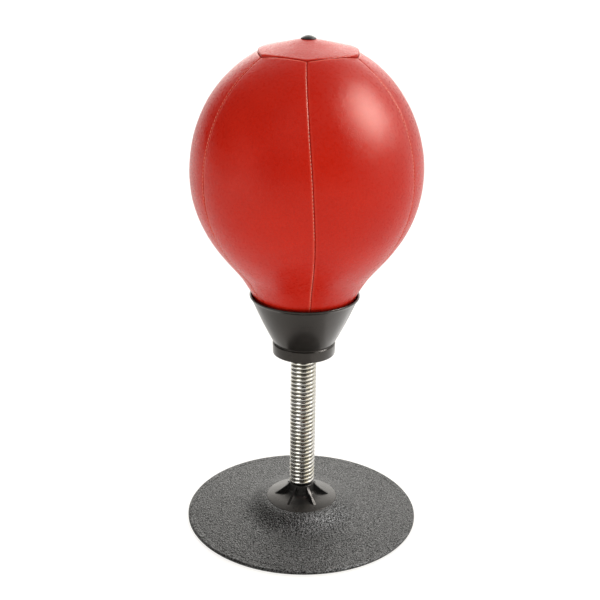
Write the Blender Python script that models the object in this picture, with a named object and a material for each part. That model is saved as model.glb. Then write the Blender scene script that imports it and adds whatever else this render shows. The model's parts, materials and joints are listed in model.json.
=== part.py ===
"""Desktop punching ball: an inflated leather ball in a plastic cup, on a coil spring and a suction base.

Units are metres and +Z is up. The origin is the centre of the base, on the surface that it stands on.
Each piece is one closed solid in its own object, and pieces that touch keep GAP between them.
The spring is one wire in life. Here it is cut into groups of turns, so that it can bend at its sway
joints. An empty stands on each joint's axis, and the pieces of that joint's body are parented to it.
"""

import math

import bmesh
import bpy
import numpy as np
from mathutils import Matrix, Vector

MM = 0.001
GAP = 0.3 * MM

# Suction cup, which is the base
BASE_RADIUS = 80 * MM
BASE_SEAT_HEIGHT = 12 * MM
BASE_EDGE_HEIGHT = 2.2 * MM
SEAL_INNER_RADIUS = 66 * MM
CAVITY_HEIGHT = 8.3 * MM
HILL_TOP_RADIUS = 25.6 * MM
HILL_TOP_HEIGHT = 12.9 * MM
HILL_FOOT_RADIUS = 47 * MM
HILL_FOOT_HEIGHT = 4.8 * MM

# Hub, which stands on the suction cup and holds the spring
HUB_FLANGE_RADIUS = 24.5 * MM
HUB_FLANGE_EDGE = 0.9 * MM
HUB_SPIGOT_RADIUS = 7 * MM
HUB_BOSS_RADIUS = 8.4 * MM
HUB_SEAT_HEIGHT = 24.2 * MM
HUB_POST_TOP = 38 * MM
HUB_BORE_RADIUS = 4.2 * MM
HUB_BORE_TOP = 29 * MM
FIN_COUNT = 6
FIN_THICKNESS = 1.6 * MM
FIN_TIP_RADIUS = 18.4 * MM
FIN_TIP_HEIGHT = 14.4 * MM
FIN_TOP_HEIGHT = 22.8 * MM

# Coil spring
WIRE_RADIUS = 1.3 * MM
COIL_RADIUS = 7.42 * MM
COIL_PITCH = 2.9 * MM
COIL_START_AZIMUTH = math.radians(-175)
COIL_POINTS = 10
COIL_GROUP_GAP = 1.2 * MM
POST_RADIUS = 5.4 * MM
SWAY_JOINTS = 6
FIRST_SWAY_HEIGHT = 44 * MM
SWAY_SPACING = 12 * MM

# Cup that carries the ball
CUP_RIM_HEIGHT = 164.7 * MM
CUP_RIM_RADIUS = 36.5 * MM
CUP_NECK_RADIUS = 20.5 * MM
CUP_WALL = 1.7 * MM
CUP_LIP = 1.5 * MM
CUP_LIP_HEIGHT = 1.2 * MM
CUP_FLOOR_HEIGHT = 134 * MM
COLLAR_TOP = 131.5 * MM
COLLAR_BOTTOM = 122.9 * MM
COLLAR_RADIUS = 20.8 * MM
COLLAR_WALL = 1.8 * MM
COLLAR_RECESS_HEIGHT = 128.5 * MM
SOCKET_RADIUS = 11.4 * MM
SOCKET_BOTTOM = 121.4 * MM
SOCKET_BORE_RADIUS = 9.1 * MM
SOCKET_SEAT_HEIGHT = 130.7 * MM
CUP_POST_BOTTOM = 112 * MM

# Ball: the leather cover's outer shape. The panels follow an ellipse that would reach the ball's top height,
# but the crown caps it as a low cone, which stands at most CROWN_STAND over that ellipse.
BALL_RADIUS = 74.5 * MM
BALL_EQUATOR_HEIGHT = 246.4 * MM
BALL_TOP_HEIGHT = 329.5 * MM
NECK_RADIUS = 34.4 * MM
NECK_HEIGHT = 164.7 * MM
COVER_HOLE_RADIUS = 14 * MM
COVER_BOTTOM_HEIGHT = 136.4 * MM
COVER_THICKNESS = 1.2 * MM
GORE_COUNT = 6
FIRST_SEAM_AZIMUTH = math.radians(-87.5)
CROWN_CORNER_RADIUS = 34.6 * MM
CROWN_EDGE_RADIUS = 31.5 * MM
CROWN_APEX_HEIGHT = 330.17 * MM
CROWN_SLOPE = 0.216
CROWN_TIP_RADIUS = 4 * MM
CROWN_STAND = 1.7 * MM
CROWN_EDGE_DROP = 0.9 * MM
CROWN_EDGE_ROUNDING = 1.5 * MM
VALVE_HOLE_RADIUS = 3.5 * MM
PLUG_RADIUS = 4.8 * MM
PLUG_EDGE = 0.4 * MM
PLUG_HEIGHT = 1.87 * MM

# Bladder inside the cover
BLADDER_OFFSET = 2.4 * MM
BLADDER_THICKNESS = 0.8 * MM
BLADDER_SIDE_END = 152 * MM
BLADDER_BOTTOM_HEIGHT = 144 * MM

# Fasteners
M4_SHANK_RADIUS = 2.0 * MM
M5_SHANK_RADIUS = 2.45 * MM
HEX_DEPTH = 1.5 * MM

BLACK_PLASTIC = ("black_plastic", (0.012, 0.012, 0.013), 0.32, 0.0)
BLACK_RUBBER = ("black_rubber", (0.05, 0.05, 0.052), 0.75, 0.0)
RED_LEATHER = ("red_leather", (0.52, 0.03, 0.02), 0.38, 0.0)
LATEX = ("latex", (0.35, 0.25, 0.16), 0.6, 0.0)
STEEL = ("steel", (0.62, 0.61, 0.58), 0.25, 1.0)
BRASS = ("brass", (0.6, 0.42, 0.16), 0.35, 1.0)


def clear_scene():
    for obj in list(bpy.data.objects):
        bpy.data.objects.remove(obj)


def material(finish):
    """The Principled material of this finish, made the first time that it is asked for."""
    name, colour, roughness, metallic = finish
    found = bpy.data.materials.get(name)
    if found:
        return found
    made = bpy.data.materials.new(name)
    made.use_nodes = True
    shader = made.node_tree.nodes["Principled BSDF"]
    shader.inputs["Base Color"].default_value = (*colour, 1.0)
    shader.inputs["Roughness"].default_value = roughness
    shader.inputs["Metallic"].default_value = metallic
    return made


# Bodies: one empty on each joint's axis, in a chain from the base to the valve plug


def joint_heights():
    """Height of the joint that carries each body, from the base up."""
    heights = {"base": 0.0, "pedestal": 0.0}
    for k in range(SWAY_JOINTS):
        heights[sway_body(k)] = FIRST_SWAY_HEIGHT + k * SWAY_SPACING
    heights["ball"] = SOCKET_SEAT_HEIGHT
    heights["plug"] = BALL_TOP_HEIGHT
    return heights


def sway_body(k):
    return f"spring_section_{k + 1}"


def make_bodies():
    parent = None
    parent_height = 0.0
    for name, height in joint_heights().items():
        empty = bpy.data.objects.new(f"{name}_body", None)
        empty.location = (0.0, 0.0, height - parent_height)
        empty.parent = parent
        bpy.context.scene.collection.objects.link(empty)
        parent = empty
        parent_height = height


def add_piece(name, data, body, finish):
    """An object on its body's empty, from a mesh or curve drawn about the object's origin at the base."""
    height = joint_heights()[body]
    data.transform(Matrix.Translation((0.0, 0.0, -height)))
    data.materials.append(material(finish))
    piece = bpy.data.objects.new(name, data)
    piece.parent = bpy.data.objects[f"{body}_body"]
    bpy.context.scene.collection.objects.link(piece)
    return piece


# Shape helpers


def mesh_from(bm, name):
    bmesh.ops.recalc_face_normals(bm, faces=bm.faces)
    mesh = bpy.data.meshes.new(name)
    bm.to_mesh(mesh)
    bm.free()
    mesh.shade_smooth()
    mesh.set_sharp_from_angle(angle=math.radians(40))
    return mesh


def turned(name, outline, segments=48):
    """A solid turned about Z from a closed outline of (radius, height) points. It may touch the axis."""
    bm = bmesh.new()
    points = [bm.verts.new((r, 0.0, z)) for r, z in outline]
    edges = []
    for a, b in zip(points, points[1:] + points[:1]):
        if a.co.x > 0 or b.co.x > 0:
            edges.append(bm.edges.new((a, b)))
    bmesh.ops.spin(
        bm,
        geom=points + edges,
        cent=(0.0, 0.0, 0.0),
        axis=(0.0, 0.0, 1.0),
        angle=2 * math.pi,
        steps=segments,
        use_merge=True,
    )
    bmesh.ops.remove_doubles(bm, verts=bm.verts, dist=1e-7)
    return mesh_from(bm, name)


def ring(name, inner, outer, bottom, top, segments=24):
    """A plain ring or tube, such as a washer or an insert."""
    return turned(name, [(inner, bottom), (outer, bottom), (outer, top), (inner, top)], segments)


def shell(name, outer, inner, wrap):
    """A thick sheet between two grids of points, given as rows. wrap joins each row's ends."""
    bm = bmesh.new()
    out = [[bm.verts.new(p) for p in row] for row in outer]
    back = [[bm.verts.new(p) for p in row] for row in inner]
    rows = len(out)
    columns = len(out[0])
    steps = columns if wrap else columns - 1
    for i in range(rows - 1):
        for j in range(steps):
            k = (j + 1) % columns
            bm.faces.new((out[i][j], out[i][k], out[i + 1][k], out[i + 1][j]))
            bm.faces.new((back[i][k], back[i][j], back[i + 1][j], back[i + 1][k]))
    for j in range(steps):
        k = (j + 1) % columns
        bm.faces.new((out[0][k], out[0][j], back[0][j], back[0][k]))
        bm.faces.new((out[-1][j], out[-1][k], back[-1][k], back[-1][j]))
    if not wrap:
        for i in range(rows - 1):
            bm.faces.new((out[i][0], out[i + 1][0], back[i + 1][0], back[i][0]))
            bm.faces.new((out[i + 1][-1], out[i][-1], back[i][-1], back[i + 1][-1]))
    return mesh_from(bm, name)


def bezier(start, start_handle, end_handle, end, steps):
    """Points of a cubic curve in (radius, height), without its start."""
    corners = [Vector(p) for p in (start, start_handle, end_handle, end)]
    made = []
    for i in range(1, steps + 1):
        t = i / steps
        weights = ((1 - t) ** 3, 3 * (1 - t) ** 2 * t, 3 * (1 - t) * t**2, t**3)
        made.append(tuple(sum((w * c for w, c in zip(weights, corners)), Vector((0.0, 0.0)))))
    return made


def cut(piece, cutter):
    modifier = piece.modifiers.new("cut", "BOOLEAN")
    modifier.operation = "DIFFERENCE"
    modifier.object = cutter


def add_guide(name, mesh, body):
    """A cutter or an added shape that a Boolean reads, and that isn't a piece of its own."""
    guide = add_piece(name, mesh, body, STEEL)
    guide.hide_render = True
    guide.display_type = "WIRE"
    return guide


# The base: suction cup and hub


def make_suction_cup():
    hole = HUB_SPIGOT_RADIUS + GAP
    lip = HUB_FLANGE_RADIUS + GAP
    hill = bezier(
        (HILL_TOP_RADIUS, HILL_TOP_HEIGHT),
        (33 * MM, 10.5 * MM),
        (35 * MM, 5.2 * MM),
        (HILL_FOOT_RADIUS, HILL_FOOT_HEIGHT),
        5,
    )
    edge = BASE_RADIUS - 0.6 * MM
    outline = [
        (hole, BASE_SEAT_HEIGHT),
        (lip, BASE_SEAT_HEIGHT),
        (lip, HILL_TOP_HEIGHT),
        (HILL_TOP_RADIUS, HILL_TOP_HEIGHT),
        *hill,
        (64 * MM, 3.4 * MM),
        (edge, BASE_EDGE_HEIGHT),
        (BASE_RADIUS, BASE_EDGE_HEIGHT - 0.7 * MM),
        (BASE_RADIUS, 0.6 * MM),
        (edge, 0.0),
        (SEAL_INNER_RADIUS, 0.0),
        (55 * MM, 1.6 * MM),
        (42 * MM, 2.6 * MM),
        (32 * MM, 5.6 * MM),
        (24 * MM, CAVITY_HEIGHT),
        (hole, CAVITY_HEIGHT),
    ]
    add_piece("suction_cup", turned("suction_cup", outline), "base", BLACK_RUBBER)


def make_fins():
    """The hub's triangular fins as one mesh of separate plates, which a Boolean then joins to the hub."""
    foot = BASE_SEAT_HEIGHT + GAP + HUB_FLANGE_EDGE / 2
    root = HUB_BOSS_RADIUS - 1.2 * MM
    corners = [
        (root, foot),
        (FIN_TIP_RADIUS - 0.8 * MM, foot),
        (FIN_TIP_RADIUS, FIN_TIP_HEIGHT),
        (HUB_BOSS_RADIUS + 0.3 * MM, FIN_TOP_HEIGHT),
        (root, FIN_TOP_HEIGHT),
    ]
    bm = bmesh.new()
    for k in range(FIN_COUNT):
        turn = Matrix.Rotation(2 * math.pi * k / FIN_COUNT, 3, "Z")
        face = bm.faces.new([bm.verts.new(turn @ Vector((r, -FIN_THICKNESS / 2, z))) for r, z in corners])
        moved = bmesh.ops.extrude_face_region(bm, geom=[face])["geom"]
        across = turn @ Vector((0.0, FIN_THICKNESS, 0.0))
        bmesh.ops.translate(bm, vec=across, verts=[v for v in moved if isinstance(v, bmesh.types.BMVert)])
    return mesh_from(bm, "hub_fins")


def make_hub():
    flange_bottom = BASE_SEAT_HEIGHT + GAP
    outline = [
        (0.0, HUB_POST_TOP),
        (POST_RADIUS - 0.6 * MM, HUB_POST_TOP),
        (POST_RADIUS, HUB_POST_TOP - 0.6 * MM),
        (POST_RADIUS, HUB_SEAT_HEIGHT),
        (HUB_BOSS_RADIUS, HUB_SEAT_HEIGHT),
        (HUB_BOSS_RADIUS, 18 * MM),
        (9.2 * MM, 16.8 * MM),
        (12 * MM, 15.8 * MM),
        (18 * MM, 14.5 * MM),
        (HUB_FLANGE_RADIUS - 0.3 * MM, flange_bottom + HUB_FLANGE_EDGE),
        (HUB_FLANGE_RADIUS, flange_bottom + HUB_FLANGE_EDGE - 0.3 * MM),
        (HUB_FLANGE_RADIUS, flange_bottom),
        (HUB_SPIGOT_RADIUS, flange_bottom),
        (HUB_SPIGOT_RADIUS, CAVITY_HEIGHT),
        (HUB_BORE_RADIUS, CAVITY_HEIGHT),
        (HUB_BORE_RADIUS, HUB_BORE_TOP),
        (0.0, HUB_BORE_TOP),
    ]
    hub = add_piece("pedestal_hub", turned("pedestal_hub", outline, 36), "pedestal", BLACK_PLASTIC)
    fins = add_guide("hub_fins_guide", make_fins(), "pedestal")
    join = hub.modifiers.new("fins", "BOOLEAN")
    join.operation = "UNION"
    join.object = fins


def screw_mesh(name, shank_radius, head_radius, head_bottom, head_top, shank_top):
    """A pan-head screw that points up: its head is below, with a rounded edge."""
    outline = [
        (0.0, shank_top),
        (shank_radius - 0.5 * MM, shank_top),
        (shank_radius, shank_top - 0.8 * MM),
        (shank_radius, head_top),
        (head_radius, head_top),
        (head_radius, head_bottom + 0.9 * MM),
        (head_radius - 0.9 * MM, head_bottom),
        (0.0, head_bottom),
    ]
    return turned(name, outline, 16)


def hex_socket(name, across_flats, bottom, body):
    """A six-sided cutter that sinks HEX_DEPTH into a screw head whose face is at this height."""
    bm = bmesh.new()
    bmesh.ops.create_cone(
        bm,
        cap_ends=True,
        segments=6,
        radius1=across_flats / math.sqrt(3),
        radius2=across_flats / math.sqrt(3),
        depth=2 * HEX_DEPTH,
        matrix=Matrix.Translation((0.0, 0.0, bottom)),
    )
    return add_guide(name, mesh_from(bm, name), body)


def make_base_fasteners():
    washer_top = CAVITY_HEIGHT - GAP
    washer_bottom = washer_top - 1.5 * MM
    head_top = washer_bottom - GAP
    head_bottom = head_top - 2.4 * MM
    washer = ring("base_washer", M5_SHANK_RADIUS + GAP, 12 * MM, washer_bottom, washer_top)
    add_piece("base_washer", washer, "pedestal", STEEL)
    insert = ring("hub_insert", M5_SHANK_RADIUS + GAP, HUB_BORE_RADIUS - GAP, 13 * MM, 28 * MM, 20)
    add_piece("hub_insert", insert, "pedestal", BRASS)
    mesh = screw_mesh("base_screw", M5_SHANK_RADIUS, 4.6 * MM, head_bottom, head_top, 24 * MM)
    screw = add_piece("base_screw", mesh, "pedestal", STEEL)
    cut(screw, hex_socket("base_screw_socket", 3 * MM, head_bottom, "pedestal"))


# The coil spring


def coil_group(name, bottom, top):
    """A stretch of the spring's wire between two heights of its centre line."""
    turns_to_height = COIL_PITCH / (2 * math.pi)
    first = spring_ends()[0]
    start = (bottom - first) / turns_to_height
    end = (top - first) / turns_to_height
    count = math.ceil((end - start) / (2 * math.pi) * COIL_POINTS) + 1
    curve = bpy.data.curves.new(name, "CURVE")
    curve.dimensions = "3D"
    curve.bevel_depth = WIRE_RADIUS
    curve.bevel_resolution = 1
    curve.use_fill_caps = True
    spline = curve.splines.new("POLY")
    spline.points.add(count - 1)
    for i, point in enumerate(spline.points):
        angle = start + (end - start) * i / (count - 1)
        x = COIL_RADIUS * math.cos(COIL_START_AZIMUTH + angle)
        y = COIL_RADIUS * math.sin(COIL_START_AZIMUTH + angle)
        point.co = (x, y, first + angle * turns_to_height, 1.0)
    return curve


def spring_ends():
    """Heights of the wire's centre at the spring's two ends, which rest on the hub and in the cup."""
    return HUB_SEAT_HEIGHT + GAP + WIRE_RADIUS, SOCKET_SEAT_HEIGHT - GAP - WIRE_RADIUS


def make_spring():
    bottom, top = spring_ends()
    sways = [joint_heights()[sway_body(k)] for k in range(SWAY_JOINTS)]
    # The wire rises by the pitch over each turn, so a gap along the wire is this much in height.
    half_gap = COIL_GROUP_GAP / 2 * COIL_PITCH / math.hypot(2 * math.pi * COIL_RADIUS, COIL_PITCH)
    bodies = ["pedestal"] + [sway_body(k) for k in range(SWAY_JOINTS)]
    lows = [bottom] + [z + half_gap for z in sways]
    highs = [z - half_gap for z in sways] + [top]
    for k, (body, low, high) in enumerate(zip(bodies, lows, highs)):
        name = f"spring_coils_{k + 1}"
        add_piece(name, coil_group(name, low, high), body, STEEL)


# The cup and what fastens the ball to it


def make_cup():
    lip_bottom = CUP_RIM_HEIGHT - CUP_LIP_HEIGHT
    wall_top = (CUP_RIM_RADIUS - 0.9 * MM, lip_bottom - 0.7 * MM)
    wall = [wall_top] + bezier(
        wall_top,
        (31.4 * MM, 153.5 * MM),
        (27.6 * MM, 144.0 * MM),
        (CUP_NECK_RADIUS, COLLAR_TOP),
        6,
    )
    inside = [(r - CUP_WALL, z) for r, z in wall if z > CUP_FLOOR_HEIGHT + 1 * MM]
    floor_radius = inside[-1][0] - 1 * MM
    outline = [
        (CUP_RIM_RADIUS - 0.5 * MM, CUP_RIM_HEIGHT),
        (CUP_RIM_RADIUS, CUP_RIM_HEIGHT - 0.5 * MM),
        (CUP_RIM_RADIUS, lip_bottom),
        *wall,
        (COLLAR_RADIUS, COLLAR_TOP - 0.2 * MM),
        (COLLAR_RADIUS, COLLAR_BOTTOM + 0.8 * MM),
        (COLLAR_RADIUS - 0.8 * MM, COLLAR_BOTTOM),
        (COLLAR_RADIUS - COLLAR_WALL, COLLAR_BOTTOM),
        (COLLAR_RADIUS - COLLAR_WALL, COLLAR_RECESS_HEIGHT),
        (SOCKET_RADIUS, COLLAR_RECESS_HEIGHT),
        (SOCKET_RADIUS, SOCKET_BOTTOM + 0.6 * MM),
        (SOCKET_RADIUS - 0.6 * MM, SOCKET_BOTTOM),
        (SOCKET_BORE_RADIUS, SOCKET_BOTTOM),
        (SOCKET_BORE_RADIUS, SOCKET_SEAT_HEIGHT),
        (POST_RADIUS, SOCKET_SEAT_HEIGHT),
        (POST_RADIUS, CUP_POST_BOTTOM + 0.6 * MM),
        (POST_RADIUS - 0.6 * MM, CUP_POST_BOTTOM),
        (M4_SHANK_RADIUS + GAP, CUP_POST_BOTTOM),
        (M4_SHANK_RADIUS + GAP, CUP_FLOOR_HEIGHT),
        (floor_radius, CUP_FLOOR_HEIGHT),
        *reversed(inside),
        (CUP_RIM_RADIUS - CUP_LIP, CUP_RIM_HEIGHT - 0.5 * MM),
        (CUP_RIM_RADIUS - CUP_LIP + 0.5 * MM, CUP_RIM_HEIGHT),
    ]
    add_piece("ball_cup", turned("ball_cup", outline, 36), "ball", BLACK_PLASTIC)


def make_ball_fasteners():
    washer_top = CUP_POST_BOTTOM - GAP
    washer_bottom = washer_top - 0.8 * MM
    head_top = washer_bottom - GAP
    head_bottom = head_top - 2.4 * MM
    washer = ring("ball_washer", M4_SHANK_RADIUS + GAP, 4.6 * MM, washer_bottom, washer_top, 20)
    add_piece("ball_washer", washer, "ball", STEEL)
    mesh = screw_mesh("ball_screw", M4_SHANK_RADIUS, 4.0 * MM, head_bottom, head_top, 141.5 * MM)
    screw = add_piece("ball_screw", mesh, "ball", STEEL)
    cut(screw, hex_socket("ball_screw_socket", 2.5 * MM, head_bottom, "ball"))
    insert_radius = 3.4 * MM
    insert = ring("anchor_insert", M4_SHANK_RADIUS + GAP, insert_radius, 134.8 * MM, 142.6 * MM, 20)
    add_piece("anchor_insert", insert, "ball", BRASS)
    bore = insert_radius + GAP
    flange_bottom = COVER_BOTTOM_HEIGHT + COVER_THICKNESS + GAP
    stem_radius = COVER_HOLE_RADIUS - 0.6 * MM
    anchor = [
        (bore, CUP_FLOOR_HEIGHT + GAP),
        (stem_radius, CUP_FLOOR_HEIGHT + GAP),
        (stem_radius, flange_bottom),
        (15.4 * MM, flange_bottom),
        (16.8 * MM, flange_bottom + 1.8 * MM),
        (16.8 * MM, flange_bottom + 2.8 * MM),
        (7.5 * MM, flange_bottom + 3.2 * MM),
        (7.5 * MM, 143.0 * MM),
        (bore, 143.0 * MM),
    ]
    add_piece("ball_anchor", turned("ball_anchor", anchor, 28), "ball", BLACK_PLASTIC)


# The ball


def ball_side():
    """Outer points of the ball from its top to the hole at its bottom, as its stretches one by one:
    the upper half of an ellipse, the belly, the neck, the straight part in the cup and the bottom bend."""
    rise = BALL_TOP_HEIGHT - BALL_EQUATOR_HEIGHT
    upper = []
    for i in range(31):
        angle = math.pi / 2 * (1 - i / 30)
        upper.append((BALL_RADIUS * math.cos(angle), BALL_EQUATOR_HEIGHT + rise * math.sin(angle)))
    belly_end = (45.4 * MM, 182.3 * MM)
    belly = bezier(upper[-1], (BALL_RADIUS, 213.5 * MM), (53.7 * MM, 192.1 * MM), belly_end, 24)
    neck_end = (NECK_RADIUS, NECK_HEIGHT)
    neck = bezier(belly_end, (41.4 * MM, 177.7 * MM), (37.1 * MM, 170.1 * MM), neck_end, 10)
    inside_cup = (24.1 * MM, 144.1 * MM)
    hole = (COVER_HOLE_RADIUS, COVER_BOTTOM_HEIGHT)
    bend = bezier(inside_cup, (21.6 * MM, 139.1 * MM), (19.8 * MM, COVER_BOTTOM_HEIGHT), hole, 8)
    return [upper, belly, neck, [inside_cup], bend]


class Side:
    """The ball's side by length: how far down it a point lies, from the top of the ball."""

    def __init__(self):
        stretches = ball_side()
        self.points = np.array(sum(stretches, []))
        steps = np.hypot(*np.diff(self.points, axis=0).T)
        self.lengths = np.concatenate([[0.0], np.cumsum(steps)])
        self.total = self.lengths[-1]
        last = np.cumsum([len(stretch) for stretch in stretches]) - 1
        self.stretch_ends = [float(self.lengths[i]) for i in last]

    def stations(self, start):
        """Lengths from start to the hole at which a panel has its rows, closer together where it bends."""
        belly_end, neck_end, in_cup, hole = self.stretch_ends[1:]
        rows = list(np.linspace(start, belly_end, 11))
        rows += list(np.linspace(belly_end, neck_end, 3))[1:]
        rows.append(in_cup)
        rows += list(np.linspace(in_cup, hole, 4))[1:]
        return rows

    def at(self, length, depth=0.0):
        """(radius, height) at this length, set back by depth under the surface."""
        probe = 0.5 * MM
        radius, height = (np.interp(length, self.lengths, self.points[:, k]) for k in (0, 1))
        above, below = (max(0.0, length - probe), min(self.total, length + probe))
        along = [np.interp(below, self.lengths, c) - np.interp(above, self.lengths, c) for c in self.points.T]
        size = math.hypot(*along)
        return radius + along[1] / size * depth, height - along[0] / size * depth

    def length_at_radius(self, radius):
        """The length at which the upper half reaches this radius."""
        upper = int(np.argmax(self.points[:, 0])) + 1
        return float(np.interp(radius, self.points[:upper, 0], self.lengths[:upper]))

    def length_at_height(self, height):
        return float(np.interp(-height, -self.points[:, 1], self.lengths))


def crown_edge(azimuth):
    """Radius of the crown's edge: a hexagon with corners on the seams and edges bowed outwards."""
    sector = 2 * math.pi / GORE_COUNT
    from_middle = (azimuth - FIRST_SEAM_AZIMUTH) % sector - sector / 2
    bow = math.log(CROWN_CORNER_RADIUS / CROWN_EDGE_RADIUS) / math.log(1 / math.cos(sector / 2))
    return CROWN_EDGE_RADIUS * math.cos(from_middle) ** -bow


def point_at(radius, azimuth, height):
    return Vector((radius * math.cos(azimuth), radius * math.sin(azimuth), height))


def cone_height(radius):
    """Height of the low cone, with a rounded tip, that the crown follows away from its edge."""
    return CROWN_APEX_HEIGHT - CROWN_SLOPE * (math.hypot(radius, CROWN_TIP_RADIUS) - CROWN_TIP_RADIUS)


def crown_stand(from_edge):
    """The most that the crown stands over the panels' ellipse, at this distance inside its edge."""
    return CROWN_STAND - CROWN_EDGE_DROP * math.exp(-from_edge / CROWN_EDGE_ROUNDING)


def make_crown(side):
    """The crown. Its turned edge is thicker than its middle, stands over the panels and is rounded."""
    columns = 4 * GORE_COUNT
    start = side.length_at_radius(VALVE_HOLE_RADIUS)
    outer = []
    inner = []
    for share in (0.0, 0.2, 0.45, 0.7, 0.9, 0.97, 1.0):
        outer_row = []
        inner_row = []
        for j in range(columns):
            azimuth = FIRST_SEAM_AZIMUTH + 2 * math.pi * j / columns
            end = side.length_at_radius(crown_edge(azimuth)) - GAP / 2
            length = start + (end - start) * share
            radius, height = side.at(length)
            height = min(cone_height(radius), height + crown_stand(end - length))
            outer_row.append(point_at(radius, azimuth, height))
            radius, height = side.at(length, COVER_THICKNESS)
            height = min(height, cone_height(radius) - COVER_THICKNESS)
            inner_row.append(point_at(radius, azimuth, height))
        outer.append(outer_row)
        inner.append(inner_row)
    add_piece("cover_crown", shell("cover_crown", outer, inner, wrap=True), "ball", RED_LEATHER)


def make_gore(side, k):
    columns = 5
    sector = 2 * math.pi / GORE_COUNT
    grids = []
    for depth in (0.0, COVER_THICKNESS):
        strips = []
        for j in range(columns):
            share = j / (columns - 1)
            azimuth = FIRST_SEAM_AZIMUTH + sector * (k + share)
            start = side.length_at_radius(crown_edge(azimuth)) + GAP / 2
            strip = []
            for length in side.stations(start):
                radius, height = side.at(length, depth)
                narrowed = azimuth + (1 - 2 * share) * GAP / 2 / radius
                strip.append(point_at(radius, narrowed, height))
            strips.append(strip)
        grids.append(list(zip(*strips)))
    name = f"cover_gore_{k + 1}"
    add_piece(name, shell(name, *grids, wrap=False), "ball", RED_LEATHER)


def bladder_skin(side, depth, steps):
    """One face of the bladder, from the valve hole to its closed bottom on the axis."""
    start = side.length_at_radius(VALVE_HOLE_RADIUS)
    end = side.length_at_height(BLADDER_SIDE_END)
    points = []
    for i in range(steps + 1):
        points.append(side.at(start + (end - start) * i / steps, depth))
    points[0] = (VALVE_HOLE_RADIUS, points[0][1])
    radius, height = points[-1]
    bottom = BLADDER_BOTTOM_HEIGHT + depth - BLADDER_OFFSET
    sag = height - bottom
    for i in range(1, 5):
        angle = math.pi / 2 * i / 4
        points.append((radius * math.cos(angle), height - sag * math.sin(angle)))
    points[-1] = (0.0, bottom)
    return points


def make_bladder(side):
    outside = bladder_skin(side, BLADDER_OFFSET, 12)
    inside = bladder_skin(side, BLADDER_OFFSET + BLADDER_THICKNESS, 12)
    add_piece("bladder", turned("bladder", outside + inside[::-1], 24), "ball", LATEX)


def make_valve():
    bladder_inside = BALL_TOP_HEIGHT - BLADDER_OFFSET - BLADDER_THICKNESS
    flange_top = bladder_inside - GAP - 0.2 * MM
    neck_radius = VALVE_HOLE_RADIUS - GAP
    bore = 1.7 * MM
    sleeve_bottom = BALL_TOP_HEIGHT - 14 * MM
    body = [
        (bore, BALL_TOP_HEIGHT - 0.3 * MM),
        (neck_radius, BALL_TOP_HEIGHT - 0.3 * MM),
        (neck_radius, flange_top),
        (8 * MM, flange_top - 0.9 * MM),
        (8 * MM, flange_top - 1.9 * MM),
        (neck_radius, flange_top - 2.3 * MM),
        (neck_radius, sleeve_bottom),
        (bore, sleeve_bottom),
    ]
    add_piece("valve_body", turned("valve_body", body, 20), "ball", BLACK_RUBBER)
    dome_bottom = cone_height(VALVE_HOLE_RADIUS) + GAP
    stem_radius = bore - GAP
    dome = [
        (PLUG_RADIUS * math.cos(a), dome_bottom + PLUG_EDGE + (PLUG_HEIGHT - PLUG_EDGE) * math.sin(a))
        for a in (math.pi / 2 * i / 5 for i in range(5))
    ]
    plug = [
        (0.0, dome_bottom + PLUG_HEIGHT),
        *reversed(dome),
        (PLUG_RADIUS, dome_bottom),
        (stem_radius, dome_bottom),
        (stem_radius, BALL_TOP_HEIGHT - 10 * MM),
        (0.0, BALL_TOP_HEIGHT - 10.8 * MM),
    ]
    add_piece("valve_plug", turned("valve_plug", plug, 20), "plug", BLACK_RUBBER)


def main():
    clear_scene()
    make_bodies()
    make_suction_cup()
    make_hub()
    make_base_fasteners()
    make_spring()
    make_cup()
    make_ball_fasteners()
    side = Side()
    make_crown(side)
    for k in range(GORE_COUNT):
        make_gore(side, k)
    make_bladder(side)
    make_valve()


main()
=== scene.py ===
"""Looks of the desktop punching ball: fine pieces and procedural materials round the CAD frame.

Units are metres, +Z is up and the viewer stands at -Y. The axis of the whole object is the Z axis.
Every visible CAD node is replaced by a finer piece of the same size. The inner ones get materials only.
"""

import json
import math

import bmesh
import bpy
import numpy as np
from mathutils import Matrix, Vector, noise


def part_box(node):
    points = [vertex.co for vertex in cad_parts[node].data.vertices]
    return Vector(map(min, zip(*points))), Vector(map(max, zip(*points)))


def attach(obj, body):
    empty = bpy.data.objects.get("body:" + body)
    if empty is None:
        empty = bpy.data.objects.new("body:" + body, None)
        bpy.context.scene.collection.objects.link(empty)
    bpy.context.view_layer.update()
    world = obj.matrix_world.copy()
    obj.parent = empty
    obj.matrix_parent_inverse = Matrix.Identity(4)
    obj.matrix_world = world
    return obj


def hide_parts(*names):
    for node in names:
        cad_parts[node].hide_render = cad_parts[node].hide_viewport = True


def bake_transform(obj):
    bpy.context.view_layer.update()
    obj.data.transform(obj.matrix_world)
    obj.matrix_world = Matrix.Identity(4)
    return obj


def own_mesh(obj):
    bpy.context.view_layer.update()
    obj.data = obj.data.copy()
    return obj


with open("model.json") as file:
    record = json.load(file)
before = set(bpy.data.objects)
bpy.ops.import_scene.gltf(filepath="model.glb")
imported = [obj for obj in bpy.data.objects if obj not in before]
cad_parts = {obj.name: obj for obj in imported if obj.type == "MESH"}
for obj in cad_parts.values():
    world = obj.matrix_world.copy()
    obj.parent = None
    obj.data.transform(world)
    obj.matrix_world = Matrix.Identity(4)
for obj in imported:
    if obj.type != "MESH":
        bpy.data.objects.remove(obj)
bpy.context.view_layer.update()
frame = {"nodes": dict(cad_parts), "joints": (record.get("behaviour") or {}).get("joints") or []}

MM = 0.001

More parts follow.
